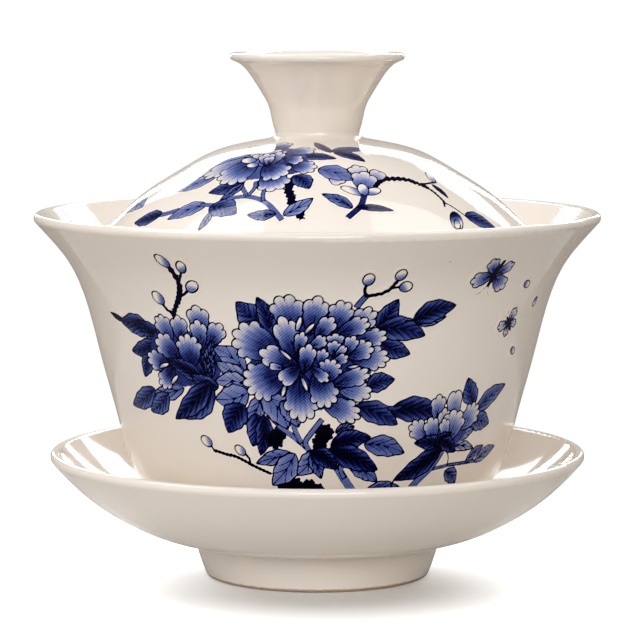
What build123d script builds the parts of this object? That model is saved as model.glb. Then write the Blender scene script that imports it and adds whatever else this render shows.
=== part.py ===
from build123d import *

import os

# A lidded tea bowl in porcelain: three pieces that stack on one axis, the saucer, the bowl and
# the lid. Millimetres, +Z up. The origin is on the axis, in the plane that the saucer's foot
# stands on.
#
# Each piece is one closed wall turned about the axis: an outer line, an inner line one wall's
# thickness inside it, and a rounded lip that joins the two. The knob is a hollow flared cup that
# is fired in one piece with the lid.

# Driving dimensions: the rims as they measure across and stand above the table, and the walls
SAUCER_RIM_R = 50.3
SAUCER_RIM_Z = 23.7
SAUCER_WALL = 2.0
BOWL_RIM_R = 53.0
BOWL_RIM_Z = 68.6
BOWL_WALL = 2.0
KNOB_RIM_R = 16.2
KNOB_RIM_Z = 98.2
KNOB_WALL = 1.5
LID_WALL = 2.1

# How far each wall leans out from upright where it reaches its rim, in degrees
SAUCER_LEAN = 40
BOWL_LEAN = 42
KNOB_LEAN = 66

# Saucer: the foot ring under it, and the well that holds the bowl's foot
SAUCER_FOOT_R = 20.9
SAUCER_FOOT_INNER_R = 18.1
SAUCER_FOOT_WAIST_R = 22.3
SAUCER_FOOT_WAIST_Z = 3.6
SAUCER_FOOT_TOP_R = 23.3
SAUCER_FOOT_TOP_Z = 7.1
SAUCER_RECESS_Z = 5.2
WELL_R = 23.0
WELL_FLOOR_Z = 7.7

# Bowl: the foot ring that stands in the well, and the floor inside
BOWL_FOOT_GAP = 0.1
BOWL_FOOT_Z = WELL_FLOOR_Z + BOWL_FOOT_GAP
BOWL_FOOT_R = 21.8
BOWL_FOOT_INNER_R = 18.4
BOWL_RECESS_Z = 11.4
BOWL_HEEL_R = 23.2
BOWL_HEEL_Z = 12.8
BOWL_FLOOR_R = 14.0
BOWL_FLOOR_Z = 14.8

# Lid: the edge that rests inside the bowl, the ceiling, the neck and the floor of the knob's cup
LID_EDGE_R = 44.1
LID_EDGE_Z = 61.3
CEILING_R = 4.0
CEILING_Z = 80.0
SHOULDER_R = 10.0
SHOULDER_Z = 82.1
NECK_R = 7.9
NECK_Z = 83.6
CUP_FLOOR_R = 3.0
CUP_FLOOR_Z = 83.0

# Small roundings of the foot rings
FOOT_EDGE = 0.6
FOOT_BLEND = 1.2

OUT = Vector(1, 0, 0)
UP = Vector(0, 0, 1)
OFFSET_STEPS = 14  # places along a wall where its inner line is set off from its outer line
SAME_RING = 0.02  # how near an edge is to a stated ring to be that ring


def at(radius, height):
    """A point of an outline, in the half plane X > 0."""
    return OUT * radius + UP * height


def under_lip(rim_radius, rim_height, wall, lean):
    """Where an outer line ends, so that the lip over it just reaches the rim's size."""
    lip_centre = at(rim_radius - wall / 2, rim_height - wall / 2)
    return lip_centre + OUT.rotate(Axis.Y, lean) * wall / 2


def inside(outer_line, wall):
    """The line one wall's thickness to the left of the way the outer line runs."""
    points = []
    for step in range(OFFSET_STEPS + 1):
        share = step / OFFSET_STEPS
        left = (outer_line % share).rotate(Axis.Y, -90)
        points.append(outer_line @ share + left * wall)
    return Spline(*points)


def lip(outer_end, inner_end, way):
    """The half-round edge from the outer line's end over to the inner line's end."""
    middle = (outer_end + inner_end) / 2
    half_wall = (outer_end - inner_end).length / 2
    return ThreePointArc(outer_end, middle + way * half_wall, inner_end)


def turned(*lines):
    """The solid that a closed outline makes when it is turned about the Z axis."""
    return revolve(make_face(Wire(lines)), Axis.Z)


def ring(solid, radius, height):
    """The circular edges of a turned solid at this radius and height."""
    circles = solid.edges().filter_by(GeomType.CIRCLE)
    return [
        edge
        for edge in circles
        if abs(edge.radius - radius) < SAME_RING and abs(edge.arc_center.Z - height) < SAME_RING
    ]


def softened(solid, corners):
    """The solid with each of its corners, given as (radius, height, fillet), rounded off."""
    for radius, height, size in corners:
        solid = fillet(ring(solid, radius, height), size)
    return solid


def make_saucer():
    underside = Spline(
        at(SAUCER_FOOT_TOP_R, SAUCER_FOOT_TOP_Z),
        at(31.3, 8.5),
        at(37.6, 11.5),
        at(43.0, 15.1),
        at(47.3, 19.0),
        under_lip(SAUCER_RIM_R, SAUCER_RIM_Z, SAUCER_WALL, SAUCER_LEAN),
    )
    dish = inside(underside, SAUCER_WALL)
    rim = lip(underside @ 1, dish @ 1, underside % 1)
    well_top = at(WELL_R, (dish @ 0).Z)
    well_and_foot = Polyline(
        dish @ 0,
        well_top,
        at(WELL_R, WELL_FLOOR_Z),
        at(0, WELL_FLOOR_Z),
        at(0, SAUCER_RECESS_Z),
        at(SAUCER_FOOT_INNER_R, SAUCER_RECESS_Z),
        at(SAUCER_FOOT_INNER_R, 0),
        at(SAUCER_FOOT_R, 0),
    )
    foot_side = ThreePointArc(
        at(SAUCER_FOOT_R, 0),
        at(SAUCER_FOOT_WAIST_R, SAUCER_FOOT_WAIST_Z),
        at(SAUCER_FOOT_TOP_R, SAUCER_FOOT_TOP_Z),
    )
    saucer = turned(underside, rim, dish, *well_and_foot.edges(), foot_side)
    return softened(
        saucer,
        [
            (SAUCER_FOOT_R, 0, FOOT_EDGE),
            (SAUCER_FOOT_INNER_R, 0, FOOT_EDGE),
            (SAUCER_FOOT_TOP_R, SAUCER_FOOT_TOP_Z, FOOT_BLEND),
            (SAUCER_FOOT_INNER_R, SAUCER_RECESS_Z, FOOT_BLEND),
            (WELL_R, WELL_FLOOR_Z, FOOT_EDGE),
        ],
    )


def make_bowl():
    belly = Spline(
        at(BOWL_HEEL_R, BOWL_HEEL_Z),
        at(27.6, 13.9),
        at(31.9, 16.7),
        at(34.3, 20.0),
        at(37.5, 30.0),
        at(40.2, 40.0),
        at(42.2, 48.0),
        at(44.35, 55.0),
        at(46.9, 60.0),
        at(50.1, 64.0),
        under_lip(BOWL_RIM_R, BOWL_RIM_Z, BOWL_WALL, BOWL_LEAN),
    )
    inner_wall = inside(belly, BOWL_WALL)
    rim = lip(belly @ 1, inner_wall @ 1, belly % 1)
    floor_edge = at(BOWL_FLOOR_R, BOWL_FLOOR_Z)
    floor_curve = Spline(floor_edge, inner_wall @ 0, tangents=[OUT, inner_wall % 0])
    floor_and_foot = Polyline(
        floor_edge,
        at(0, BOWL_FLOOR_Z),
        at(0, BOWL_RECESS_Z),
        at(BOWL_FOOT_INNER_R, BOWL_RECESS_Z),
        at(BOWL_FOOT_INNER_R, BOWL_FOOT_Z),
        at(BOWL_FOOT_R, BOWL_FOOT_Z),
        at(BOWL_FOOT_R, BOWL_RECESS_Z),
        belly @ 0,
    )
    bowl = turned(belly, rim, inner_wall, floor_curve, *floor_and_foot.edges())
    return softened(
        bowl,
        [
            (BOWL_FOOT_R, BOWL_FOOT_Z, FOOT_EDGE),
            (BOWL_FOOT_INNER_R, BOWL_FOOT_Z, FOOT_EDGE),
            (BOWL_FOOT_INNER_R, BOWL_RECESS_Z, FOOT_BLEND),
        ],
    )


def make_lid():
    dome = Spline(
        at(LID_EDGE_R, LID_EDGE_Z),
        at(39.1, 66.1),
        at(32.5, 72.0),
        at(25.5, 76.5),
        at(19.1, 79.95),
        at(14.5, 81.25),
        at(SHOULDER_R, SHOULDER_Z),
    )
    shoulder = Spline(dome @ 1, at(8.5, 82.5), at(NECK_R, NECK_Z), tangents=[dome % 1, UP])
    flare = Spline(
        at(NECK_R, NECK_Z),
        at(8.5, 85.8),
        at(9.1, 88.3),
        at(10.55, 91.0),
        at(12.45, 94.0),
        at(14.1, 95.9),
        under_lip(KNOB_RIM_R, KNOB_RIM_Z, KNOB_WALL, KNOB_LEAN),
    )
    cup = inside(flare, KNOB_WALL)
    knob_rim = lip(flare @ 1, cup @ 1, flare % 1)
    cup_floor = at(CUP_FLOOR_R, CUP_FLOOR_Z)
    cup_curve = Spline(cup @ 0, cup_floor, tangents=[-(cup % 0), -OUT])
    vault = inside(dome, LID_WALL)
    ceiling = at(CEILING_R, CEILING_Z)
    vault_curve = Spline(vault @ 1, ceiling, tangents=[vault % 1, -OUT])
    lid_edge = lip(dome @ 0, vault @ 0, -(dome % 0))
    core = Polyline(cup_floor, at(0, CUP_FLOOR_Z), at(0, CEILING_Z), ceiling)
    outside_lines = (dome, shoulder, flare, knob_rim)
    return turned(
        lid_edge, *outside_lines, cup, cup_curve, *core.edges(), vault_curve, vault
    )


os.makedirs("parts", exist_ok=True)
for node, make in (("saucer", make_saucer), ("bowl", make_bowl), ("lid", make_lid)):
    export_step(make(), f"parts/{node}.step")
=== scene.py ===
import math

import bpy
import numpy as np
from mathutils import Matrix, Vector
from mathutils.bvhtree import BVHTree


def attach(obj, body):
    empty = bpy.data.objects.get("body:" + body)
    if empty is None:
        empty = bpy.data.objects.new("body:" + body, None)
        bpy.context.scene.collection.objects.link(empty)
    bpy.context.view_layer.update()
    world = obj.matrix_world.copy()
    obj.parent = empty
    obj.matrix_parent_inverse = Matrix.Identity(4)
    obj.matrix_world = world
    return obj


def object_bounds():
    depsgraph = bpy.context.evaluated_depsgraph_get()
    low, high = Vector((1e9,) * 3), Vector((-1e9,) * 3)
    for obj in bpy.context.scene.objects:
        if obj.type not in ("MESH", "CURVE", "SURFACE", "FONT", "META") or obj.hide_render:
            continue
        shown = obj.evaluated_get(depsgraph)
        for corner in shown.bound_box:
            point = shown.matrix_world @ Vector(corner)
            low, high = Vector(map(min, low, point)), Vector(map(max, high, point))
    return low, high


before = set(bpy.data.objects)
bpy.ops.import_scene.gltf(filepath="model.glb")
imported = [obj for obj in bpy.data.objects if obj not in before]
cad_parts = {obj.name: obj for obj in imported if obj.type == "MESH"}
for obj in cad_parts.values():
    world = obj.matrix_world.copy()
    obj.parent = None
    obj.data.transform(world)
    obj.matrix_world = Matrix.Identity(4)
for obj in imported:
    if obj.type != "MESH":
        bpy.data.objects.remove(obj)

# A porcelain gaiwan on a white studio table. The three CAD pieces are shown as they are, in an
# ivory glaze. The blue painting is two thin layers, one on the bowl and one on the lid, that
# follow the CAD walls. Each is drawn shape by shape on a flat sheet, in millimetres, and then
# wrapped round its piece: how blue it is and how near an ink line runs are kept at each point.

MM = 0.001
cad_low, cad_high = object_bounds()

# The sheets: how finely they are drawn, and how the ink behaves
GRID = 0.22  # mm between the points of a painted layer
FAR = 1.0  # mm, an ink distance that shows no line
INK = 0.12  # half the width of a drawn line, in mm
HAIR = 0.08  # half the width of a vein
LINE_ROOM = 0.8  # mm round a shape that its outline may reach
PETAL_NOTCH = 0.22  # how deep a petal's scallops cut, as a share of its crown
PETAL_WAIST = 0.56  # where a petal is widest, as a share of its length
PALE_TIP = 0.06  # the tone left at a petal's edge
PETAL_WASH = 0.84  # how deep a petal's blue is beside a leaf's
LEAF_WAVE = 0.05  # how far a leaf's edge ripples, as a share of its half width
DARK_LEAF = 0.5  # the tone above which a leaf has a third pair of side veins
SHEET_DROP = 0.35  # mm that both paintings sit lower than they are drawn
LAYER_PROUD = 0.05  # mm that a painted layer stands out of the CAD wall
LAYER_THICK = 0.10  # mm, so that its back is as deep inside the wall as its front is proud
BOWL_WRAP_R = 40.0  # radius on which the bowl's sheet is measured across, in mm

# The unglazed foot of the saucer and the bowl, and edge of the lid: bare up to here, in metres
BARE_BELOW = {"saucer": 0.0006, "bowl": 0.0084, "lid": 0.0599}

# How far each sheet reaches, in mm: left, right, low, high
BOWL_SHEET = (-46.0, 49.0, 20.6, 65.6)
LID_SHEET = (-40.0, 40.0, -39.5, -4.0)

# The studio, in metres
FLOOR_R = 0.16
VEIL_LIFT = 0.00002  # gap between the table top and the glow over it
VEIL_STRETCH = 1.25  # how much wider than deep the gap in the painted glow in front of the foot is, where the shadow shows
BACKDROP_R = 8.0
SHADOW_SPOT = (0.002, -0.020, 0.0)  # middle of the soft shadow in front of the foot, where the painted glow over the table is left off

CAMERA_LENS = 181.5  # mm, on a sensor 36 mm wide
CAMERA_PLACE = (0.0005, -0.6038, 0.1111)
CAMERA_DIP = 5.96  # degrees below level

# name, azimuth, elevation, distance, width, height, watts. Azimuth 0 is behind the object and
# 180 is in front of it, positive to the right, in degrees like elevation.
LIGHTS = (
    ("key_softbox", 198, 26, 1.2, 0.7, 0.5, 2.4),
    ("front_softbox", 174, 20, 1.2, 0.6, 0.4, 4.6),
    ("left_softbox", 225, 22, 1.2, 0.5, 0.5, 0.5),
    ("low_left_softbox", 236, 3, 1.2, 0.4, 0.2, 0.8),
    ("high_softbox", 215, 55, 1.0, 0.8, 0.7, 0.4),
    ("left_high_softbox", 280, 60, 1.0, 0.5, 0.5, 3.8),
    ("right_high_softbox", 76, 60, 1.0, 0.5, 0.5, 1.7),
    ("back_softbox", 4, 29, 1.0, 1.0, 0.24, 4.0),
    ("left_strip", -16, 13, 1.0, 0.06, 0.34, 0.8),
    ("right_strip", 16, 13, 1.0, 0.06, 0.34, 0.8),
)
ROOM_COLOUR = (1.0, 0.93, 0.86, 1)
ROOM_GLOW = 0.35

# What each level of light is shown as, below 1: deeper darks, and the lighter tones as they are
CONTRAST = ((0.035, 0.008), (0.12, 0.088), (0.30, 0.275), (0.62, 0.63))


# ---------------------------------------------------------------- drawing on a flat sheet


class Sheet:
    """A flat painting: tone is 0 for bare glaze to 1 for navy, ink is mm outside a drawn line."""

    def __init__(self, left, right, low, high):
        across = np.arange(left, right, GRID)
        up = np.arange(low, high, GRID)
        self.u, self.v = np.meshgrid(across, up)
        self.tone = np.zeros_like(self.u)
        self.ink = np.full_like(self.u, FAR)

    def around(self, points, margin):
        """The part of the sheet that holds these points, with a margin in mm."""
        (left, low), (right, high) = points.min(0) - margin, points.max(0) + margin
        columns = np.flatnonzero((self.u[0] >= left) & (self.u[0] <= right))
        rows = np.flatnonzero((self.v[:, 0] >= low) & (self.v[:, 0] <= high))
        if not len(columns) or not len(rows):
            return None
        return slice(rows[0], rows[-1] + 1), slice(columns[0], columns[-1] + 1)


def distance_to(line, u, v):
    """How far each point (u, v) is from an open line of points."""
    nearest = np.full_like(u, 1e9)
    for (au, av), (bu, bv) in zip(line[:-1], line[1:]):
        du, dv = bu - au, bv - av
        share = ((u - au) * du + (v - av) * dv) / max(du * du + dv * dv, 1e-12)
        share = np.clip(share, 0, 1)
        nearest = np.minimum(nearest, np.hypot(u - au - share * du, v - av - share * dv))
    return nearest


def is_inside(outline, u, v):
    """Whether each point (u, v) is inside a closed outline."""
    crossings = np.zeros(u.shape, int)
    for (au, av), (bu, bv) in zip(outline[:-1], outline[1:]):
        spans = (av > v) != (bv > v)
        if av != bv:
            crossings += spans & (u < au + (v - av) * (bu - au) / (bv - av))
    return crossings % 2 == 1


def smooth_step(value, low, high):
    share = np.clip((value - low) / (high - low), 0, 1)
    return share * share * (3 - 2 * share)


def curve(points, per_span=8):
    """A smooth line through given points (Catmull-Rom)."""
    p = np.array(points, float)
    p = np.vstack([2 * p[0] - p[1], p, 2 * p[-1] - p[-2]])
    t = np.linspace(0, 1, per_span, endpoint=False)[:, None]
    spans = []
    for a, b, c, d in zip(p[:-3], p[1:-2], p[2:-1], p[3:]):
        squared = (2 * a - 5 * b + 4 * c - d) * t**2
        cubed = (3 * b - a - 3 * c + d) * t**3
        spans.append(0.5 * (2 * b + (c - a) * t + squared + cubed))
    return np.vstack(spans + [p[-2:-1]])


class Axes:
    """A shape's own directions: along runs from its base to its tip, aside across it."""

    def __init__(self, base, tip, width):
        self.base = np.array(base, float)
        way = np.array(tip, float) - self.base
        self.length = math.hypot(*way)
        self.way = way / self.length
        self.side = np.array((-self.way[1], self.way[0]))
        self.half = width / 2

    def place(self, along, aside):
        """Points of the sheet from shares of the length and of the half width."""
        along, aside = np.broadcast_arrays(along, aside)
        return (
            self.base
            + np.outer(along * self.length, self.way)
            + np.outer(aside * self.half, self.side)
        )

    def shares(self, u, v):
        du, dv = u - self.base[0], v - self.base[1]
        along = (du * self.way[0] + dv * self.way[1]) / self.length
        aside = (du * self.side[0] + dv * self.side[1]) / self.half
        return along, aside


def fill(sheet, outline, shade, line=INK, veins=()):
    """Lays one closed shape over what is there already, with its outline and its veins."""
    where = sheet.around(outline, LINE_ROOM)
    if where is None:
        return
    u, v = sheet.u[where], sheet.v[where]
    inside = is_inside(outline, u, v)
    edge = distance_to(outline, u, v) - line
    sheet.tone[where] = np.where(inside, shade(u, v), sheet.tone[where])
    under = np.where(inside, FAR, sheet.ink[where])
    for vein in veins:
        under = np.where(inside, np.minimum(under, distance_to(vein, u, v) - HAIR), under)
    sheet.ink[where] = np.minimum(under, edge)


def stroke(sheet, points, width, rough=0.0):
    """A brush line of solid ink. A rough one swells and thins as old wood does."""
    line = curve(points)
    where = sheet.around(line, width + LINE_ROOM)
    if where is None:
        return
    u, v = sheet.u[where], sheet.v[where]
    swell = 1 + rough * np.sin(5.1 * u + 1.7 * v) * np.sin(2.3 * u - 4.7 * v)
    reach = distance_to(line, u, v) - width / 2 * swell
    sheet.ink[where] = np.minimum(sheet.ink[where], reach)


def wash(sheet, centre, width, height, tone):
    """A soft-edged oval of flat blue with no outline, laid where petals will crowd together."""
    turn = np.linspace(0, 2 * math.pi, 33)
    u = centre[0] + width / 2 * np.cos(turn)
    v = centre[1] + height / 2 * np.sin(turn)
    fill(sheet, np.column_stack([u, v]), lambda u, v: np.full_like(u, tone), line=-FAR)


def petal(sheet, base, tip, width, lobes, tone):
    """A fan-shaped petal: pale scalloped edge, blue towards its base, and fine dark streaks."""
    axes = Axes(base, tip, width)
    turn = np.linspace(0, math.pi, 10 * lobes + 1)
    scallop = 1 - PETAL_NOTCH * (1 - np.abs(np.sin(lobes * turn)) ** 0.7)
    to_tip = 1 - PETAL_WAIST
    crown = axes.place(PETAL_WAIST + to_tip * np.sin(turn) * scallop, np.cos(turn) * scallop)
    rise = np.linspace(0, 1, 7)[1:-1]
    side = 0.83 * np.sin(rise * math.pi / 2) ** 0.8
    right = axes.place(rise * PETAL_WAIST, side)
    left = axes.place(rise[::-1] * PETAL_WAIST, -side[::-1])
    outline = np.vstack([axes.place(0, 0), right, crown, left, axes.place(0, 0)])

    def shade(u, v):
        along, aside = axes.shares(u, v)
        reach = np.hypot(along, 0.6 * aside)
        fan = 0.025 * np.sin(23 * np.arctan2(aside, along + 0.25))
        dark = PETAL_WASH * tone
        return PALE_TIP + (dark - PALE_TIP) * (1 - smooth_step(reach + fan, 0.36, 0.96))

    lines = [
        axes.place(np.linspace(0.06, reach, 5), lean * np.linspace(0.1, 1, 5) ** 1.3)
        for lean, reach in ((-0.42, 0.34), (-0.1, 0.5), (0.22, 0.44))
    ]
    for notch in np.arange(1, lobes) * math.pi / lobes:
        inward = (1 - PETAL_NOTCH) * np.linspace(1, 0.8, 3)
        along = PETAL_WAIST + to_tip * math.sin(notch) * inward
        lines.append(axes.place(along, math.cos(notch) * inward))
    fill(sheet, outline, shade, veins=lines)


def leaf(sheet, base, tip, width, tone, bend=0.25):
    """A pointed leaf with a midrib and side veins. bend bows it, to its left if positive."""
    axes = Axes(base, tip, width)
    along = np.linspace(0, 1, 29)
    wavy = 1 + LEAF_WAVE * np.sin(7 * math.pi * along)
    spread = wavy * np.sin(math.pi * along**0.82) ** 0.85
    bow = bend * np.sin(math.pi * along)
    outline = np.vstack(
        [axes.place(along, bow + spread), axes.place(along[::-1], (bow - spread)[::-1])]
    )
    midrib = axes.place(along[1:-1], bow[1:-1])
    veins = [midrib]
    for start in (0.06, 0.24, 0.44) if tone > DARK_LEAF else (0.14, 0.40):
        run = np.linspace(0, 1, 6)
        for side in (-1, 1):
            out = side * 0.74 * run**1.2 * math.sin(math.pi * (start + 0.18) ** 0.82)
            place = start + 0.36 * run
            veins.append(axes.place(place, bend * np.sin(math.pi * place) + out))

    def shade(u, v):
        along, aside = axes.shares(u, v)
        off_rib = np.abs(aside - bend * np.sin(math.pi * np.clip(along, 0, 1)))
        pleat = np.sin(2 * math.pi * 5.3 * (along - 0.45 * off_rib) - 1.6)
        dark = 1 - 0.36 * smooth_step(off_rib, 0.1, 0.95) - 0.14 * smooth_step(along, 0.3, 1.0)
        return tone * dark * (1 + (0.12 if tone > 0.55 else 0.05) * pleat)

    fill(sheet, outline, shade, veins=veins)


def stem(sheet, points, width, tone):
    """A green stem: two ink edges with a flat wash between them."""
    middle = curve(points)
    way = np.gradient(middle, axis=0)
    way /= np.hypot(*way.T)[:, None]
    side = np.column_stack([-way[:, 1], way[:, 0]]) * width / 2
    outline = np.vstack([middle + side, (middle - side)[::-1], middle[:1] + side[:1]])
    fill(sheet, outline, lambda u, v: np.full_like(u, tone), line=INK * 0.8)


def bud(sheet, base, tip, width, tone=0.45):
    """A closed bud: an oval, shaded on the side of its stalk."""
    axes = Axes(base, tip, width)
    turn = np.linspace(0, 2 * math.pi, 25)
    outline = axes.place(0.5 - 0.5 * np.cos(turn), np.sin(turn))

    def shade(u, v):
        along, aside = axes.shares(u, v)
        return tone * (1 - smooth_step(along + 0.25 * aside, 0.05, 0.75))

    fill(sheet, outline, shade)


def moss(sheet, centre, radius):
    """A ragged dark tuft of moss on the rock under the flowers."""
    turn = np.linspace(0, 2 * math.pi, 49)
    ragged = radius * (1 + 0.13 * np.sin(7 * turn) + 0.09 * np.sin(12 * turn + centre[0]))
    u = centre[0] + ragged * np.cos(turn)
    v = centre[1] + ragged * np.sin(turn)
    outline = np.column_stack([u, v])
    fill(sheet, outline, lambda u, v: np.full_like(u, 1.0))


def butterfly(sheet, centre, size, turn_deg, tone):
    """A small butterfly seen from above: four wings, a body and two feelers."""
    turn = math.radians(turn_deg)

    def at(right, up):
        return (
            centre[0] + size * (right * math.cos(turn) - up * math.sin(turn)),
            centre[1] + size * (right * math.sin(turn) + up * math.cos(turn)),
        )

    for side in (-1, 1):
        petal(sheet, at(0.05 * side, -0.05), at(0.62 * side, -0.62), 0.55 * size, 3, tone)
        petal(sheet, at(0.05 * side, 0.05), at(0.95 * side, 0.42), 0.72 * size, 3, tone)
        stroke(sheet, (at(0.03 * side, 0.4), at(0.16 * side, 0.7), at(0.36 * side, 0.9)), 0.1)
    stroke(sheet, (at(0, 0.42), at(0, 0), at(0, -0.6)), 0.16 * size)


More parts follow.
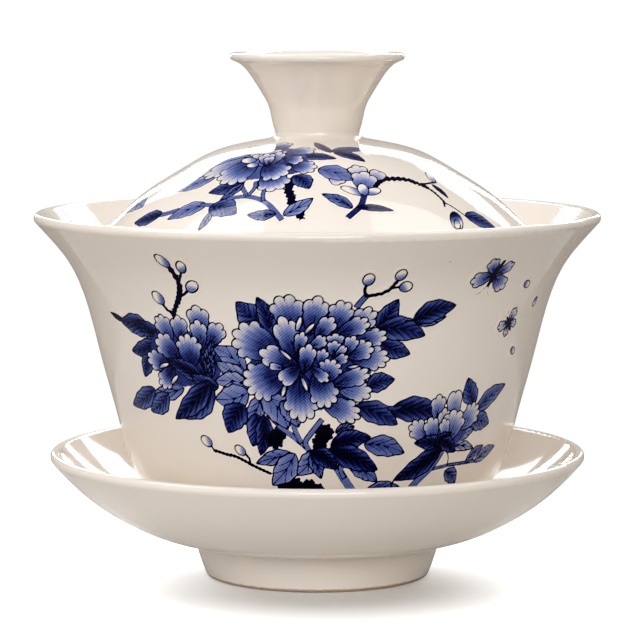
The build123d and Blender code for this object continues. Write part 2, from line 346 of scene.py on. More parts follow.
# The bowl's painting, from the back of each bunch to its front. Places are mm: across from the
# middle of the front, and height above the table. The bare middle of a flower is its heart.
BOWL_SHAPES = (
    # left flower: leaves behind it
    (leaf, (-37.8, 51.0), (-41.8, 52.1), 1.0, 0.8),
    (leaf, (-30.6, 49.6), (-38.9, 50.8), 4.0, 0.95, -0.2),
    (leaf, (-27.6, 48.2), (-33.8, 51.4), 3.6, 1.0),
    (leaf, (-29.6, 47.6), (-37.4, 45.4), 3.4, 0.92),
    (leaf, (-31.8, 45.2), (-35.1, 40.9), 3.0, 0.9, -0.2),
    (leaf, (-25.4, 39.6), (-34.5, 37.6), 2.8, 0.48),
    (leaf, (-33.0, 38.8), (-41.9, 34.9), 3.6, 0.78),
    (leaf, (-29.6, 38.2), (-35.6, 34.4), 3.6, 0.74),
    # left flower: petals
    (wash, (-25.4, 45.4), 13.0, 11.0, 0.72),
    (wash, (-19.6, 45.6), 6.0, 9.0, 0.72),
    (petal, (-19.9, 49.2), (-20.3, 55.1), 4.6, 3, 0.85),
    (petal, (-26.2, 48.0), (-28.6, 52.8), 4.0, 4, 0.7),
    (petal, (-24.0, 47.6), (-24.4, 53.1), 3.8, 3, 0.85),
    (petal, (-19.2, 47.6), (-16.0, 51.9), 3.8, 3, 0.85),
    (petal, (-20.4, 46.8), (-20.5, 52.5), 3.6, 3, 0.85),
    (leaf, (-19.6, 42.6), (-18.0, 48.8), 2.2, 0.72),
    (leaf, (-20.2, 42.4), (-20.9, 47.4), 1.8, 0.85),
    (leaf, (-18.9, 42.0), (-18.6, 46.8), 1.6, 0.6),
    (petal, (-25.2, 44.8), (-29.9, 48.8), 5.0, 4, 0.9),
    (petal, (-23.0, 43.2), (-22.9, 49.8), 5.6, 5, 0.92),
    (petal, (-27.2, 43.4), (-33.3, 44.7), 4.2, 4, 0.95),
    (petal, (-26.8, 43.4), (-31.0, 39.3), 3.8, 4, 0.95),
    (bud, (-30.6, 43.0), (-27.9, 43.9), 0.8, 0.3),
    (bud, (-28.3, 40.1), (-26.3, 41.9), 0.8, 0.2),
    (leaf, (-20.6, 41.2), (-28.4, 44.7), 3.2, 1.0, -0.2),
    (leaf, (-18.0, 40.2), (-23.4, 42.2), 3.0, 0.85),
    (leaf, (-19.0, 39.8), (-26.9, 33.9), 4.2, 0.8, 0.3),
    (leaf, (-19.4, 41.2), (-28.9, 33.6), 4.0, 0.95),
    # left flower: the twig above it
    (
        stroke,
        ((-25.0, 52.9), (-24.1, 54.6), (-22.9, 56.6), (-22.2, 59.2), (-22.9, 62.4)),
        0.95,
        0.35,
    ),
    (stroke, ((-24.8, 53.4), (-26.0, 53.9), (-26.8, 55.0)), 0.5, 0.3),
    (stroke, ((-23.0, 56.3), (-21.6, 57.2), (-20.8, 57.9)), 0.45, 0.3),
    (stroke, ((-22.2, 59.0), (-21.4, 60.4), (-20.9, 61.4)), 0.4, 0.3),
    (bud, (-26.4, 55.0), (-28.2, 57.0), 2.0),
    (bud, (-21.0, 57.6), (-19.0, 59.4), 1.9),
    (bud, (-21.0, 61.0), (-20.3, 63.2), 1.6),
    (bud, (-22.7, 62.0), (-24.2, 64.2), 1.8),
    # middle flower: leaves behind it
    (leaf, (-12.4, 43.4), (-18.2, 47.6), 3.9, 0.44, -0.3),
    (leaf, (-12.2, 42.4), (-18.0, 44.9), 3.0, 0.38),
    (leaf, (-12.0, 40.8), (-18.6, 41.3), 3.4, 0.36, -0.3),
    (leaf, (-12.3, 39.6), (-18.9, 38.0), 5.0, 0.42),
    (leaf, (-9.6, 39.2), (-13.6, 33.6), 3.2, 0.46),
    (leaf, (-8.6, 38.8), (-7.4, 33.6), 3.8, 0.4),
    (leaf, (-8.2, 51.6), (-12.9, 56.0), 4.8, 0.82, 0.2),
    (leaf, (-7.6, 50.6), (-9.4, 57.0), 3.0, 0.88, -0.2),
    (leaf, (9.8, 51.6), (12.9, 56.5), 3.2, 0.85, -0.2),
    (leaf, (10.6, 48.8), (16.1, 46.4), 3.4, 0.85, -0.2),
    (leaf, (9.8, 51.4), (18.5, 49.7), 4.4, 0.88),
    (leaf, (8.6, 40.4), (13.7, 41.9), 3.5, 0.85),
    (leaf, (13.6, 36.3), (24.4, 35.0), 4.6, 0.95, 0.2),
    (leaf, (7.0, 37.2), (15.2, 33.5), 4.0, 0.85, 0.2),
    (stem, ((13.0, 36.6), (14.6, 36.5), (15.6, 36.9)), 0.7, 0.7),
    (leaf, (16.0, 52.6), (22.0, 52.9), 2.2, 0.6, -0.3),
    (leaf, (16.0, 52.5), (23.5, 54.9), 4.0, 0.92),
    (stroke, ((14.6, 52.5), (16.4, 52.5)), 0.3),
    (leaf, (-13.4, 37.2), (-17.2, 31.9), 4.8, 0.92, -0.2),
    (leaf, (-11.2, 35.6), (-12.4, 29.6), 4.2, 0.82),
    (leaf, (-9.8, 35.4), (-11.0, 28.0), 3.4, 0.95),
    # middle flower: stems and moss under it
    (moss, (-8.0, 30.9), 1.5),
    (moss, (-7.0, 32.2), 1.2),
    (moss, (0.5, 30.6), 1.3),
    (moss, (1.4, 32.3), 1.5),
    (stem, ((-1.6, 29.2), (-4.4, 31.5), (-7.4, 33.6)), 0.8, 0.42),
    (stem, ((-3.0, 30.4), (-4.2, 33.0), (-4.6, 35.2)), 0.8, 0.42),
    (stem, ((-1.6, 29.0), (-2.2, 30.6), (-1.0, 32.4), (0.9, 34.8)), 0.9, 0.42),
    (stem, ((3.4, 26.6), (5.2, 23.9), (7.6, 20.8)), 1.4, 0.42),
    (stem, ((4.8, 27.6), (4.6, 25.4), (5.4, 23.8)), 0.8, 0.42),
    (leaf, (9.0, 30.1), (17.3, 28.1), 3.8, 0.55, 0.25),
    (leaf, (3.4, 32.4), (6.9, 33.4), 1.8, 0.6),
    (leaf, (2.6, 30.0), (10.1, 31.4), 3.6, 0.95, 0.2),
    (leaf, (6.2, 26.6), (12.2, 23.0), 3.2, 0.55, 0.2),
    (leaf, (2.2, 29.3), (12.0, 25.2), 4.2, 1.0, 0.1),
    (moss, (-6.6, 21.9), 1.3),
    (moss, (-4.4, 22.4), 1.4),
    (moss, (-1.6, 22.0), 1.5),
    (moss, (0.2, 21.6), 1.1),
    (leaf, (-4.6, 28.2), (-12.0, 26.4), 2.8, 0.5, -0.2),
    (leaf, (-4.2, 28.4), (-9.1, 22.4), 4.4, 0.44, 0.2),
    (leaf, (-0.6, 28.8), (-3.9, 24.4), 3.6, 0.42),
    (leaf, (-1.4, 28.2), (0.8, 23.8), 2.6, 0.62),
    (leaf, (-1.3, 28.9), (3.9, 25.6), 3.4, 1.0),
    (leaf, (10.0, 21.2), (17.4, 21.6), 2.6, 0.6),
    # middle flower: outer petals
    (wash, (-1.0, 45.0), 21.0, 17.0, 0.74),
    (leaf, (-9.6, 39.6), (-5.4, 33.0), 5.0, 0.46),
    (leaf, (-6.4, 38.2), (-3.4, 33.4), 3.6, 0.5),
    (petal, (-3.9, 50.2), (-5.3, 57.6), 6.0, 4, 0.85),
    (petal, (-1.2, 50.2), (0.3, 57.4), 4.6, 3, 0.85),
    (petal, (2.6, 50.4), (4.5, 56.5), 4.6, 4, 0.85),
    (petal, (4.6, 49.6), (9.2, 54.9), 4.6, 4, 0.85),
    (petal, (5.6, 48.8), (11.8, 50.1), 3.8, 4, 0.85),
    (petal, (5.0, 46.4), (12.5, 45.6), 4.8, 5, 0.85),
    (petal, (0.2, 38.8), (7.9, 34.9), 4.8, 5, 0.8),
    (petal, (3.0, 40.8), (9.8, 39.4), 4.2, 4, 0.6),
    (petal, (2.6, 41.2), (9.2, 43.4), 3.9, 4, 0.85),
    (petal, (-6.2, 46.6), (-14.2, 50.6), 7.8, 5, 0.9),
    (petal, (-5.0, 43.8), (-12.9, 40.2), 7.8, 6, 0.95),
    (petal, (-3.0, 43.6), (-2.7, 34.2), 6.8, 5, 0.95),
    (petal, (-0.4, 43.8), (2.2, 36.9), 5.6, 5, 0.95),
    (bud, (-5.6, 41.2), (-6.2, 38.9), 0.8, 0.3),
    # middle flower: inner petals
    (petal, (-0.4, 49.4), (2.7, 53.5), 3.4, 3, 0.85),
    (petal, (3.0, 50.2), (8.6, 52.7), 3.8, 4, 0.9),
    (petal, (4.6, 46.2), (9.5, 48.2), 4.2, 4, 0.85),
    (petal, (-3.2, 44.8), (-5.9, 53.7), 4.8, 3, 0.9),
    (petal, (-3.0, 44.4), (-9.9, 47.2), 4.6, 3, 0.95),
    (petal, (-5.2, 44.0), (-8.4, 44.6), 1.6, 2, 0.6),
    (petal, (-2.8, 44.6), (-6.5, 41.4), 3.6, 2, 0.95),
    (bud, (-3.3, 50.9), (-2.6, 53.6), 0.9, 0.3),
    (bud, (-2.1, 50.4), (-0.4, 52.4), 0.8, 0.3),
    (bud, (-6.4, 47.6), (-4.2, 45.6), 0.7, 0.3),
    (petal, (-3.4, 46.6), (-2.3, 50.9), 2.5, 3, 0.8),
    (petal, (-1.4, 47.6), (1.6, 49.9), 2.6, 3, 0.7),
    (petal, (3.0, 47.6), (3.0, 50.6), 3.4, 3, 0.75),
    (petal, (4.8, 46.6), (6.2, 50.1), 2.8, 3, 0.7),
    (petal, (2.6, 46.2), (3.0, 49.3), 2.8, 3, 0.75),
    (petal, (2.9, 46.0), (4.9, 48.3), 1.7, 2, 0.6),
    (petal, (2.4, 44.9), (5.3, 46.4), 2.2, 3, 0.75),
    (petal, (0.4, 44.6), (1.2, 47.8), 2.4, 3, 0.75),
    (petal, (-2.4, 43.2), (-1.2, 48.7), 3.3, 3, 0.92),
    (petal, (1.0, 41.4), (3.0, 45.8), 4.6, 5, 0.92),
    (petal, (-1.2, 44.6), (2.0, 41.7), 2.4, 3, 0.8),
    (bud, (-2.7, 42.6), (-1.7, 40.0), 0.8, 0.3),
    (bud, (5.0, 44.2), (7.2, 44.6), 0.6, 0.3),
    # middle flower: twigs with buds, above and below
    (stem, ((6.2, 55.2), (7.0, 56.4), (7.8, 57.5)), 0.9, 0.5),
    (stroke, ((7.6, 57.2), (7.3, 58.4), (7.6, 59.6)), 0.5, 0.3),
    (stroke, ((7.8, 57.3), (9.8, 57.6), (11.2, 58.4), (12.4, 60.2)), 0.6, 0.3),
    (stroke, ((11.4, 58.6), (12.8, 58.8)), 0.4),
    (bud, (7.5, 59.2), (7.9, 61.4), 1.8),
    (bud, (12.7, 58.8), (14.8, 58.8), 1.9),
    (bud, (12.2, 60.0), (12.9, 62.0), 1.7),
    (
        stroke,
        ((-9.4, 24.6), (-12.2, 25.7), (-15.8, 27.3), (-18.6, 27.9), (-20.8, 28.3)),
        0.55,
        0.45,
    ),
    (stroke, ((-20.6, 28.2), (-21.6, 29.4)), 0.35),
    (stroke, ((-13.2, 26.0), (-13.4, 27.2), (-14.2, 28.2)), 0.4, 0.3),
    (bud, (-21.1, 29.3), (-23.4, 30.6), 1.8, 0.35),
    (bud, (-14.1, 28.0), (-16.1, 29.4), 1.6, 0.35),
    # right flower: leaves, stem and side twig
    (leaf, (32.4, 36.0), (29.3, 41.1), 3.6, 0.75, 0.2),
    (leaf, (33.0, 34.4), (41.4, 38.8), 3.6, 0.62, 0.3),
    (leaf, (32.6, 32.6), (38.6, 31.8), 3.6, 0.66, 0.2),
    (stem, ((19.6, 20.8), (21.8, 23.1), (24.2, 25.2), (26.0, 27.8)), 1.4, 0.42),
    (stem, ((24.6, 24.6), (29.0, 25.0), (33.4, 25.0), (37.0, 24.9)), 0.5, 0.5),
    (stroke, ((27.0, 28.0), (28.0, 26.6), (28.2, 24.9)), 0.25),
    (leaf, (33.4, 25.2), (38.4, 27.7), 2.0, 0.5),
    (leaf, (36.4, 24.9), (43.4, 27.0), 2.4, 0.45),
    (leaf, (27.9, 23.9), (32.0, 21.2), 2.8, 0.62),
    (leaf, (28.6, 29.4), (34.0, 31.2), 2.4, 0.36),
    (leaf, (28.0, 28.6), (34.9, 27.6), 2.0, 0.3),
    (leaf, (29.0, 30.2), (32.2, 32.6), 1.8, 0.5),
    # right flower: petals
    (wash, (26.8, 31.6), 10.0, 6.6, 0.62),
    (petal, (23.6, 33.4), (23.2, 38.6), 3.6, 3, 0.55),
    (petal, (27.6, 32.6), (26.8, 39.3), 4.0, 2, 0.5),
    (petal, (29.6, 31.4), (33.8, 35.8), 5.0, 5, 0.5),
    (petal, (22.6, 30.2), (17.9, 33.6), 4.0, 4, 0.5),
    (petal, (23.8, 29.8), (21.9, 34.4), 3.8, 3, 0.6),
    (petal, (25.6, 31.0), (25.0, 36.0), 3.2, 3, 0.5),
    (petal, (26.8, 29.2), (28.4, 35.4), 6.2, 4, 0.6),
    (petal, (26.6, 29.8), (25.2, 34.0), 2.8, 3, 0.5),
    (leaf, (27.2, 28.8), (19.3, 29.8), 3.0, 0.95, -0.2),
    (leaf, (25.8, 28.4), (15.8, 23.1), 4.0, 0.98, 0.25),
    (leaf, (24.0, 29.0), (27.8, 31.0), 2.2, 0.98),
    (leaf, (25.0, 29.8), (29.6, 27.4), 2.8, 0.98),
    (stroke, ((16.0, 23.2), (15.4, 22.2), (16.2, 21.2)), 0.3),
    # butterflies, and three loose petals at the right
    (butterfly, (29.4, 60.0), 4.3, 168.0, 0.62),
    (butterfly, (37.4, 50.6), 2.9, 38.0, 0.3),
    (bud, (38.4, 58.0), (40.2, 57.2), 1.3, 0.6),
    (bud, (45.6, 54.6), (44.6, 53.0), 1.2, 0.6),
    (bud, (40.4, 45.6), (41.8, 44.6), 1.2, 0.6),
)

# The lid's painting. Places are mm on the dome rolled out flat: across from the middle, and
# towards the front from the axis, as a negative number.
LID_SHAPES = (
    (leaf, (-37.8, -6.0), (-34.6, -14.4), 4.4, 0.34),
    (leaf, (-18.8, -19.2), (-27.6, -17.0), 4.2, 0.4, 0.2),
    (stem, ((-31.6, -22.8), (-29.6, -24.4), (-27.0, -25.6)), 1.1, 0.55),
    (leaf, (-30.6, -23.6), (-36.6, -19.0), 3.8, 0.9, 0.1),
    (leaf, (-21.2, -28.4), (-29.4, -26.6), 3.8, 0.44, -0.2),
    (stem, ((-22.4, -27.6), (-20.6, -28.8), (-19.4, -29.8)), 0.9, 0.5),
    (leaf, (-20.4, -31.0), (-23.4, -34.8), 1.7, 0.4, 0.3),
    (leaf, (-20.6, -29.4), (-15.6, -34.0), 4.8, 0.75),
    # the stem, the trunk and their leaves
    (stem, ((-17.2, -28.8), (-13.0, -30.0), (-9.6, -33.0), (-6.8, -38.0)), 0.95, 0.5),
    (stem, ((-13.2, -29.8), (-13.8, -27.6), (-14.4, -25.0)), 0.7, 0.5),
    (stem, ((-13.0, -29.6), (-11.8, -27.8), (-11.4, -25.6)), 0.7, 0.5),
    (stem, ((-10.2, -32.2), (-10.2, -30.2), (-9.6, -28.0)), 0.7, 0.5),
    (leaf, (-7.9, -36.3), (-13.4, -35.1), 2.6, 0.62),
    (stroke, ((-5.0, -27.4), (-5.4, -30.0), (-4.9, -32.4), (-4.8, -34.2)), 1.7, 0.35),
    (stroke, ((-3.2, -35.8), (-3.2, -37.6)), 1.7, 0.4),
    (leaf, (-6.4, -37.0), (-0.8, -32.8), 3.1, 0.42, -0.2),
    (leaf, (-13.6, -25.0), (-20.6, -24.6), 4.4, 0.85, 0.1),
    (leaf, (-13.8, -25.2), (-18.5, -28.6), 2.2, 0.62, 0.2),
    (leaf, (-4.4, -25.6), (-1.5, -30.0), 3.8, 0.85),
    # sprigs behind the flower
    (leaf, (2.4, -17.4), (-0.4, -10.6), 1.9, 0.85),
    (leaf, (2.6, -17.0), (9.2, -13.2), 3.2, 0.72),
    (leaf, (3.0, -17.2), (8.7, -19.7), 2.8, 0.95),
    (leaf, (-3.4, -19.2), (3.4, -20.0), 3.0, 0.92),
    # the open flower
    (wash, (-9.6, -19.0), 15.0, 12.0, 0.6),
    (wash, (-5.0, -21.6), 7.0, 7.0, 0.7),
    (petal, (-12.0, -15.6), (-23.4, -13.4), 8.0, 5, 0.34),
    (petal, (-9.0, -15.0), (-12.8, -9.6), 6.4, 4, 0.3),
    (petal, (-7.0, -15.6), (-5.8, -9.4), 4.0, 3, 0.85),
    (petal, (-12.0, -16.4), (-21.6, -17.6), 5.4, 4, 0.4),
    (petal, (-5.6, -17.4), (-0.4, -15.4), 4.6, 3, 0.7),
    (petal, (-10.6, -18.0), (-18.2, -23.0), 8.2, 5, 0.85),
    (petal, (-9.0, -22.6), (-7.6, -29.8), 6.8, 4, 0.95),
    (petal, (-5.4, -21.6), (-0.2, -24.0), 4.6, 4, 0.85),
    (petal, (-9.6, -20.4), (-6.4, -25.8), 6.6, 4, 0.9),
    (petal, (-6.2, -19.4), (-2.5, -20.9), 3.6, 3, 0.8),
    (petal, (-9.2, -21.4), (-9.2, -13.8), 8.0, 6, 0.72),
    (petal, (-9.6, -21.2), (-11.4, -15.4), 3.6, 3, 0.5),
    (petal, (-8.8, -21.2), (-6.6, -16.0), 3.6, 3, 0.6),
    (petal, (-9.0, -21.0), (-9.2, -16.0), 3.6, 3, 0.55),
    (petal, (-9.0, -20.8), (-8.6, -17.6), 2.4, 2, 0.5),
    (bud, (-11.2, -18.4), (-13.8, -16.2), 2.0, 0.4),
    (bud, (-10.8, -20.2), (-13.0, -19.0), 1.6, 0.4),
    # the second flower, on its own stem
    (petal, (2.4, -25.4), (4.6, -28.4), 3.4, 2, 0.3),
    (leaf, (0.2, -23.8), (6.8, -26.6), 4.6, 0.5, 0.15),
    (petal, (8.8, -26.0), (6.8, -21.6), 4.2, 3, 0.25),
    (petal, (10.4, -26.6), (11.6, -21.7), 3.6, 2, 0.4),
    (petal, (8.7, -30.0), (8.8, -23.2), 5.4, 3, 0.55),
    (bud, (8.9, -30.8), (4.4, -29.2), 2.0, 0.45),
    (bud, (9.2, -30.4), (11.8, -28.0), 2.0, 0.4),
    (bud, (8.9, -31.0), (8.3, -27.4), 2.1, 0.45),
    (stem, ((8.9, -30.8), (8.2, -34.2), (5.9, -37.6)), 1.0, 0.8),
    (leaf, (6.7, -35.0), (0.9, -31.6), 2.7, 0.62, -0.2),
    (leaf, (7.7, -34.7), (14.6, -33.5), 1.7, 0.95, 0.2),
    # the old branch on the right
    (stroke, ((10.9, -27.4), (11.6, -25.8), (13.2, -24.0), (15.2, -22.9)), 0.9, 0.3),
    (stroke, ((13.0, -24.0), (16.0, -22.4), (18.4, -22.1), (20.4, -22.2)), 1.3, 0.5),
    (stroke, ((20.0, -22.1), (22.2, -23.0), (24.0, -24.6), (24.6, -25.2)), 0.6, 0.4),
    (stroke, ((24.4, -25.1), (26.4, -25.2), (29.2, -25.9)), 0.35, 0.3),
    (stroke, ((24.2, -24.8), (24.6, -26.4)), 0.4),
    (stroke, ((19.6, -21.9), (21.2, -20.2), (22.4, -18.6)), 0.5, 0.4),
    (bud, (22.2, -18.8), (20.6, -15.8), 1.6, 0.25),
    (leaf, (21.8, -20.2), (25.1, -22.8), 1.3, 0.95),
    (leaf, (29.0, -25.7), (36.0, -22.8), 4.0, 0.8, 0.15),
    (bud, (27.0, -26.4), (27.6, -31.6), 2.8, 0.95),
    (bud, (27.4, -28.6), (27.6, -31.2), 1.4, 0.3),
)


# ---------------------------------------------------------------- wrapping the sheets


TURNS = np.linspace(0, 2 * math.pi, 12, endpoint=False)
OUTSIDE_R = 80.0  # mm, clear of the whole object
UNDER_KNOB_Z = 84.0  # mm, above the dome and below the flare of the knob


def solid_of(node):
    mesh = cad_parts[node].data
    return BVHTree.FromPolygons(
        [corner.co for corner in mesh.vertices], [face.vertices[:] for face in mesh.polygons]
    )


def ring_point(radius, turn, z):
    """A point at a turn from the middle of the front, in metres from mm."""
    return Vector((radius * math.sin(turn), -radius * math.cos(turn), z)) * MM


def bowl_surface():
    """Places a point of the bowl's sheet on its outer wall, at a lift in mm off the wall."""
    solid = solid_of("bowl")
    heights = np.linspace(19.0, 66.8, 160)
    radii = []
    for z in heights:
        hits = [
            solid.ray_cast(ring_point(OUTSIDE_R, turn, z), -ring_point(OUTSIDE_R, turn, 0))[0]
            for turn in TURNS
        ]
        radii.append(max(math.hypot(hit.x, hit.y) for hit in hits) / MM)
    wall = np.polynomial.Polynomial.fit(heights, radii, deg=11)
    slope = wall.deriv()

    def place(u, v, lift):
        turn = u / BOWL_WRAP_R
        z = v - SHEET_DROP
        steep = slope(z)
        level = lift / np.hypot(1, steep)
        r = wall(z) + level
        return np.column_stack([r * np.sin(turn), -r * np.cos(turn), z - level * steep]) * MM

    return place


def lid_surface():
    """Places a point of the lid's rolled-out sheet on its dome, at a lift in mm off the dome."""
    solid = solid_of("lid")
    radii = np.linspace(9.0, 43.8, 160)
    heights = []
    for r in radii:
        hits = [solid.ray_cast(ring_point(r, turn, UNDER_KNOB_Z), (0, 0, -1))[0] for turn in TURNS]
        heights.append(max(hit.z for hit in hits) / MM)
    dome = np.polynomial.Polynomial.fit(radii, heights, deg=11)
    slope = dome.deriv()
    steps = np.hypot(1, slope(radii[1:])) * np.diff(radii)
    along = radii[0] + np.concatenate([[0], np.cumsum(steps)])

    def place(u, v, lift):
        r = np.interp(np.hypot(u, v) + SHEET_DROP, along, radii)
        turn = np.arctan2(u, -v)
        steep = slope(r)
        rise = lift / np.hypot(1, steep)
        out = r - rise * steep
        return np.column_stack([out * np.sin(turn), -out * np.cos(turn), dome(r) + rise]) * MM

    return place


def painted_layer(name, sheet, place):
    """A thin closed layer on a piece's wall, wherever its sheet has blue or ink on it."""
    marked = (sheet.tone > 0.02) | (sheet.ink < 0.3)
    cell = marked[:-1, :-1] | marked[1:, :-1] | marked[:-1, 1:] | marked[1:, 1:]
    rows, columns = np.nonzero(cell)
    wide = sheet.u.shape[1]
    first = rows * wide + columns
    quads = np.column_stack([first, first + 1, first + wide + 1, first + wide])
    used, quads = np.unique(quads, return_inverse=True)
    quads = quads.reshape(-1, 4)
    u, v = sheet.u.ravel()[used], sheet.v.ravel()[used]
    front = place(u, v, LAYER_PROUD)
    back = place(u, v, LAYER_PROUD - LAYER_THICK)
    count = len(used)

    sides = np.vstack([quads[:, [k, (k + 1) % 4]] for k in range(4)])
    ordered = np.sort(sides, axis=1)
    _, index, times = np.unique(ordered, axis=0, return_index=True, return_counts=True)
    rim = sides[index[times == 1]]
    walls = np.column_stack([rim[:, 1], rim[:, 0], rim[:, 0] + count, rim[:, 1] + count])
    faces = np.vstack([quads, quads[:, ::-1] + count, walls])

    mesh = bpy.data.meshes.new(name)
    mesh.from_pydata(np.vstack([front, back]).tolist(), [], faces.tolist())
    for key, values in (("tone", sheet.tone), ("ink", sheet.ink)):
        at_points = np.tile(values.ravel()[used], 2).astype(np.float32)
        mesh.attributes.new(key, "FLOAT", "POINT").data.foreach_set("value", at_points)
    flat = np.tile(np.column_stack([u, v]), (2, 1)).astype(np.float32)
    corners = np.empty(len(mesh.loops), np.int32)
    mesh.loops.foreach_get("vertex_index", corners)
    mesh.uv_layers.new(name="sheet_mm").data.foreach_set("uv", flat[corners].ravel())
    mesh.polygons.foreach_set("use_smooth", np.ones(len(faces), bool))
    mesh.set_sharp_from_angle(angle=math.radians(50))
    mesh.validate()
    layer = bpy.data.objects.new(name, mesh)
    bpy.context.scene.collection.objects.link(layer)
    return layer


# ---------------------------------------------------------------- materials


class Nodes:
    """Short calls for building one material's node tree."""

    def __init__(self, name):
        self.material = bpy.data.materials.new(name)
        self.material.use_nodes = True
        self.tree = self.material.node_tree
        self.shader = self.tree.nodes["Principled BSDF"]

    def add(self, kind, **settings):
        node = self.tree.nodes.new(kind)
        for key, value in settings.items():
            setattr(node, key, value)
        return node

    def link(self, source, target):
        self.tree.links.new(source, target)

    def noise(self, coordinates, scale, detail=3.0):
        node = self.add("ShaderNodeTexNoise")
        node.inputs["Scale"].default_value = scale
        node.inputs["Detail"].default_value = detail
        self.link(coordinates, node.inputs["Vector"])
        return node.outputs["Fac"]

    def ramp(self, value, stops):
        """A colour ramp from (place, (r, g, b)) stops."""
        node = self.add("ShaderNodeValToRGB")
        stops_used = node.color_ramp.elements
        for _ in range(len(stops) - 2):
            stops_used.new(0.5)
        for element, (place, colour) in zip(stops_used, stops):
            element.position = place
            element.color = (*colour, 1)
        self.link(value, node.inputs["Fac"])
        return node.outputs["Color"]

    def mix(self, share, first, second):
        node = self.add("ShaderNodeMix", data_type="RGBA")
        self.link(share, node.inputs["Factor"])
        for key, colour in (("A", first), ("B", second)):
            socket = [s for s in node.inputs if s.name == key and s.type == "RGBA"][0]
            if isinstance(colour, tuple):
                socket.default_value = (*colour, 1)
            else:
                self.link(colour, socket)
        return [s for s in node.outputs if s.type == "RGBA"][0]

    def between(self, value, low, high, low_gives=0.0, high_gives=1.0):
        node = self.add("ShaderNodeMapRange", interpolation_type="SMOOTHSTEP")
        for key, number in (("From Min", low), ("From Max", high)):
            node.inputs[key].default_value = number
        for key, number in (("To Min", low_gives), ("To Max", high_gives)):
            node.inputs[key].default_value = number
        self.link(value, node.inputs["Value"])
        return node.outputs["Result"]

    def maths(self, operation, first, second):
        node = self.add("ShaderNodeMath", operation=operation)
        for socket, value in zip(node.inputs, (first, second)):
            if isinstance(value, (int, float)):
                socket.default_value = value
            else:
                self.link(value, socket)
        return node.outputs["Value"]


IVORY = (0.85, 0.79, 0.725)
IVORY_COOL = (0.84, 0.78, 0.72)
IVORY_WARM = (0.86, 0.79, 0.71)
BISCUIT = (0.52, 0.42, 0.32)
SPECK = (0.30, 0.22, 0.15)


def glaze_base(nodes, place):
    """The ivory glaze's colour: slow warm and cool clouds, and a few iron specks."""
    clouds = nodes.between(nodes.noise(place, 38.0), 0.35, 0.65)
    tint = nodes.mix(clouds, IVORY_COOL, IVORY_WARM)
    fine = nodes.between(nodes.noise(place, 420.0, 2.0), 0.42, 0.62)
    tint = nodes.mix(nodes.maths("MULTIPLY", fine, 0.35), tint, IVORY)
    cells = nodes.add("ShaderNodeTexVoronoi")
    cells.inputs["Scale"].default_value = 85.0
    nodes.link(place, cells.inputs["Vector"])
    dot = nodes.between(cells.outputs["Distance"], 0.016, 0.030, 1.0, 0.0)
    chance = nodes.add("ShaderNodeSeparateColor")
    nodes.link(cells.outputs["Color"], chance.inputs["Color"])
    rare = nodes.maths("GREATER_THAN", chance.outputs["Red"], 0.965)
    return nodes.mix(nodes.maths("MULTIPLY", dot, rare), tint, SPECK)


def glaze_surface(nodes, place):
    """The gloss of the glaze: nearly mirror-like, with a faint pool and orange-peel unevenness."""
    shader = nodes.shader
    shader.inputs["IOR"].default_value = 1.52
    uneven = nodes.noise(place, 130.0, 2.0)
    nodes.link(nodes.between(uneven, 0.3, 0.7, 0.05, 0.10), shader.inputs["Roughness"])
    bump = nodes.add("ShaderNodeBump")
    bump.inputs["Strength"].default_value = 0.12
    bump.inputs["Distance"].default_value = 0.0002
    nodes.link(nodes.noise(place, 210.0, 1.0), bump.inputs["Height"])
    nodes.link(bump.outputs["Normal"], shader.inputs["Normal"])


def porcelain(name, bare_below):
    """Glazed porcelain whose foot or edge is left unglazed below a height, in metres."""
    nodes = Nodes(name)
    place = nodes.add("ShaderNodeTexCoord").outputs["Object"]
    glaze_surface(nodes, place)
    height = nodes.add("ShaderNodeSeparateXYZ")
    nodes.link(place, height.inputs["Vector"])
    ragged = nodes.maths("MULTIPLY", nodes.noise(place, 900.0), 0.0003)
    level = nodes.maths("ADD", height.outputs["Z"], ragged)
    bare = nodes.between(level, bare_below, bare_below + 0.0003, 1.0, 0.0)
    grain = nodes.ramp(
        nodes.noise(place, 2600.0, 4.0), ((0.3, (0.44, 0.35, 0.26)), (0.7, BISCUIT))
    )
    nodes.link(nodes.mix(bare, glaze_base(nodes, place), grain), nodes.shader.inputs["Base Color"])
    return nodes.material


# The blues from the palest wash to navy, each at its tone. Below the first the glaze shows.
COBALT = (
    (0.16, (0.47, 0.48, 0.60)),
    (0.30, (0.20, 0.24, 0.47)),
    (0.42, (0.13, 0.175, 0.42)),
    (0.56, (0.084, 0.112, 0.29)),
    (0.74, (0.030, 0.044, 0.155)),
    (0.90, (0.005, 0.009, 0.055)),
    (1.00, (0.002, 0.003, 0.015)),
)
NAVY_INK = (0.003, 0.004, 0.028)
HATCH = ((0.9, 0.72), (-0.7, 0.8))  # turn in radians and scale of each set of hatch lines
HATCH_STRENGTH = 0.8


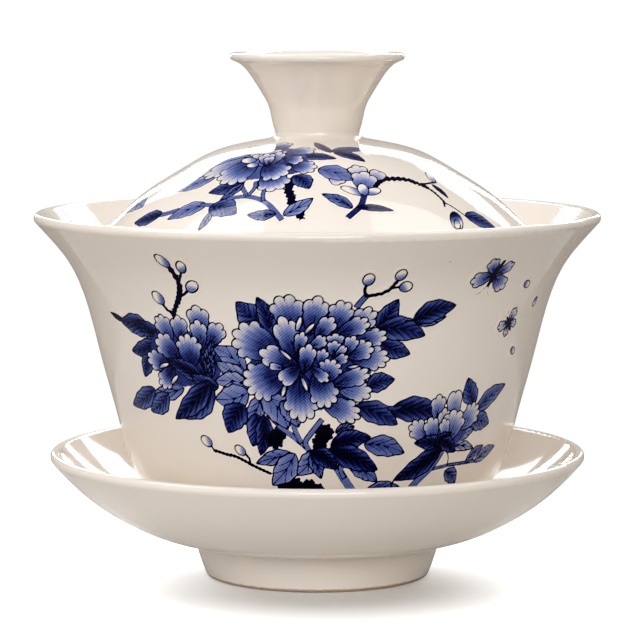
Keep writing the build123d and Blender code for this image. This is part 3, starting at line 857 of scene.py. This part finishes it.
def cobalt_painting(name):
    """Cobalt under the glaze: washes by tone with a fine cross-hatch, and crisp ink lines."""
    nodes = Nodes(name)
    place = nodes.add("ShaderNodeTexCoord").outputs["Object"]
    glaze_surface(nodes, place)
    tone = nodes.add("ShaderNodeAttribute", attribute_name="tone").outputs["Fac"]
    ink = nodes.add("ShaderNodeAttribute", attribute_name="ink").outputs["Fac"]
    flat = nodes.add("ShaderNodeUVMap", uv_map="sheet_mm").outputs["UV"]

    hatch = None
    for turn, scale in HATCH:
        turned = nodes.add("ShaderNodeMapping")
        turned.inputs["Rotation"].default_value = (0, 0, turn)
        nodes.link(flat, turned.inputs["Vector"])
        wave = nodes.add("ShaderNodeTexWave", bands_direction="X")
        wave.inputs["Scale"].default_value = scale
        wave.inputs["Distortion"].default_value = 1.0
        wave.inputs["Detail"].default_value = 1.0
        nodes.link(turned.outputs["Vector"], wave.inputs["Vector"])
        lines = wave.outputs["Fac"]
        hatch = lines if hatch is None else nodes.maths("ADD", hatch, lines)
    brush = nodes.noise(flat, 0.9, 3.0)
    swing = nodes.maths("ADD", nodes.maths("MULTIPLY", hatch, 0.5), brush)
    swing = nodes.maths("SUBTRACT", swing, 1.0)
    blend = nodes.maths("MULTIPLY", tone, nodes.maths("SUBTRACT", 1.15, tone))
    uneven = nodes.maths("MULTIPLY", nodes.maths("MULTIPLY", swing, blend), HATCH_STRENGTH)
    broken = nodes.maths("ADD", tone, uneven)

    blues = nodes.ramp(broken, COBALT)
    washed = nodes.mix(nodes.between(broken, 0.0, COBALT[0][0]), glaze_base(nodes, place), blues)
    nodes.shader.inputs["Specular IOR Level"].default_value = 0.3
    ink_edge = nodes.between(ink, -0.03, 0.05, 1.0, 0.0)
    nodes.link(nodes.mix(ink_edge, washed, NAVY_INK), nodes.shader.inputs["Base Color"])
    return nodes.material


# ---------------------------------------------------------------- the object

for node, bare_height in BARE_BELOW.items():
    material = porcelain(node + "_glaze", bare_height)
    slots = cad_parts[node].data.materials
    slots.clear()
    slots.append(material)

painting_material = cobalt_painting("cobalt_painting")
for name, node, size, shapes, surface in (
    ("bowl_painting", "bowl", BOWL_SHEET, BOWL_SHAPES, bowl_surface),
    ("lid_painting", "lid", LID_SHEET, LID_SHAPES, lid_surface),
):
    sheet = Sheet(*size)
    for draw, *places in shapes:
        draw(sheet, *places)
    layer = painted_layer(name, sheet, surface())
    layer.data.materials.append(painting_material)
    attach(layer, node)


# ---------------------------------------------------------------- studio


def distance_from(nodes, spot):
    """How far each point of a stage piece is from a spot on the floor, in metres."""
    reach = nodes.add("ShaderNodeVectorMath", operation="DISTANCE")
    nodes.link(nodes.add("ShaderNodeTexCoord").outputs["Object"], reach.inputs[0])
    reach.inputs[1].default_value = spot
    return reach.outputs["Value"]


def make_floor():
    """A round table top of matt paper, white round the foot and greyer further out. The grey
    further out is painted shade, a painted pool of light round the foot that sends less light onto
    the bowl's sides.
    """
    bpy.ops.mesh.primitive_circle_add(vertices=96, radius=FLOOR_R, fill_type="NGON")
    floor = bpy.context.object
    floor.name = "studio_floor"
    nodes = Nodes("studio_floor")
    tooth = nodes.noise(nodes.add("ShaderNodeTexCoord").outputs["Object"], 60.0)
    near = nodes.ramp(tooth, ((0.3, (0.81, 0.81, 0.81)), (0.7, (0.83, 0.83, 0.83))))
    # Painted shade: the paper turns grey away from the foot, so less light bounces onto the bowl's
    # sides.
    far = nodes.ramp(tooth, ((0.3, (0.49, 0.48, 0.47)), (0.7, (0.51, 0.50, 0.49))))
    paper = nodes.mix(nodes.between(distance_from(nodes, (0, 0, 0)), 0.04, 0.075), near, far)
    nodes.link(paper, nodes.shader.inputs["Base Color"])
    nodes.shader.inputs["Roughness"].default_value = 0.9
    nodes.shader.inputs["Specular IOR Level"].default_value = 0.1
    floor.data.materials.append(nodes.material)


def make_painted_glow():
    """A painted glow over the table, seen by the camera only: it lifts the table to white and
    hides its shadows, except in front of the foot, where the glow fades out and leaves a soft
    shadow.
    """
    bpy.ops.mesh.primitive_circle_add(vertices=96, radius=FLOOR_R, fill_type="NGON")
    veil = bpy.context.object
    veil.name = "studio_painted_glow"
    veil.location.z = VEIL_LIFT
    veil.scale.x = VEIL_STRETCH
    nodes = Nodes("studio_painted_glow")
    glow = nodes.add("ShaderNodeEmission")
    # Painted light: the glow is off at the shadow spot and rises away from it, so this glow sets
    # the shape of the shadow that shows.
    strength = nodes.between(distance_from(nodes, SHADOW_SPOT), 0.008, 0.042, 0.0, 0.9)
    nodes.link(strength, glow.inputs["Strength"])
    both = nodes.add("ShaderNodeAddShader")
    nodes.link(nodes.add("ShaderNodeBsdfTransparent").outputs["BSDF"], both.inputs[0])
    nodes.link(glow.outputs["Emission"], both.inputs[1])
    nodes.link(both.outputs["Shader"], nodes.tree.nodes["Material Output"].inputs["Surface"])
    nodes.tree.nodes.remove(nodes.shader)
    veil.data.materials.append(nodes.material)
    seen_by_camera_only(veil)


def make_backdrop():
    """A white shell all round, which only the camera sees: the glaze mirrors the room instead."""
    bpy.ops.mesh.primitive_uv_sphere_add(segments=32, ring_count=16, radius=BACKDROP_R)
    shell = bpy.context.object
    shell.name = "studio_backdrop"
    nodes = Nodes("studio_backdrop")
    nodes.shader.inputs["Base Color"].default_value = (0, 0, 0, 1)
    nodes.shader.inputs["Emission Color"].default_value = (1, 1, 1, 1)
    nodes.shader.inputs["Emission Strength"].default_value = 1.0
    shell.data.materials.append(nodes.material)
    seen_by_camera_only(shell)


def seen_by_camera_only(piece):
    piece.visible_diffuse = False
    piece.visible_glossy = False
    piece.visible_transmission = False
    piece.visible_shadow = False


def make_light(name, azimuth_deg, elevation_deg, reach, width, height, power):
    """A softbox that faces the middle of the object."""
    azimuth, elevation = math.radians(azimuth_deg), math.radians(elevation_deg)
    light = bpy.data.lights.new(name, "AREA")
    light.shape = "RECTANGLE"
    light.size, light.size_y = width, height
    light.energy = power
    holder = bpy.data.objects.new(name, light)
    away = (
        math.sin(azimuth) * math.cos(elevation),
        math.cos(azimuth) * math.cos(elevation),
        math.sin(elevation),
    )
    middle = (cad_low + cad_high) / 2
    holder.location = [m + reach * a for m, a in zip(middle, away)]
    holder.rotation_mode = "QUATERNION"
    holder.rotation_quaternion = (holder.location - middle).to_track_quat("Z", "Y")
    bpy.context.scene.collection.objects.link(holder)


def make_world():
    """The dim warm room round the table."""
    world = bpy.data.worlds.new("studio")
    bpy.context.scene.world = world
    world.use_nodes = True
    room = world.node_tree.nodes["Background"]
    room.inputs["Color"].default_value = ROOM_COLOUR
    room.inputs["Strength"].default_value = ROOM_GLOW


def make_camera():
    """A long lens in front of the object, a little above the rim, at the photograph's angle."""
    data = bpy.data.cameras.new("camera")
    data.lens = CAMERA_LENS
    data.sensor_width = 36.0
    data.clip_end = 200.0
    camera = bpy.data.objects.new("camera", data)
    camera.location = CAMERA_PLACE
    camera.rotation_euler = (math.radians(90 - CAMERA_DIP), 0, 0)
    bpy.context.scene.collection.objects.link(camera)
    bpy.context.scene.camera = camera


def set_contrast():
    """Shows the picture through the contrast curve."""
    view = bpy.context.scene.view_settings
    view.view_transform = "Standard"
    view.use_curve_mapping = True
    tones = view.curve_mapping.curves[3].points
    for level, shown in CONTRAST:
        tones.new(level, shown)
    view.curve_mapping.update()


make_floor()
make_painted_glow()
make_backdrop()
for softbox in LIGHTS:
    make_light(*softbox)
make_world()
make_camera()
set_contrast()
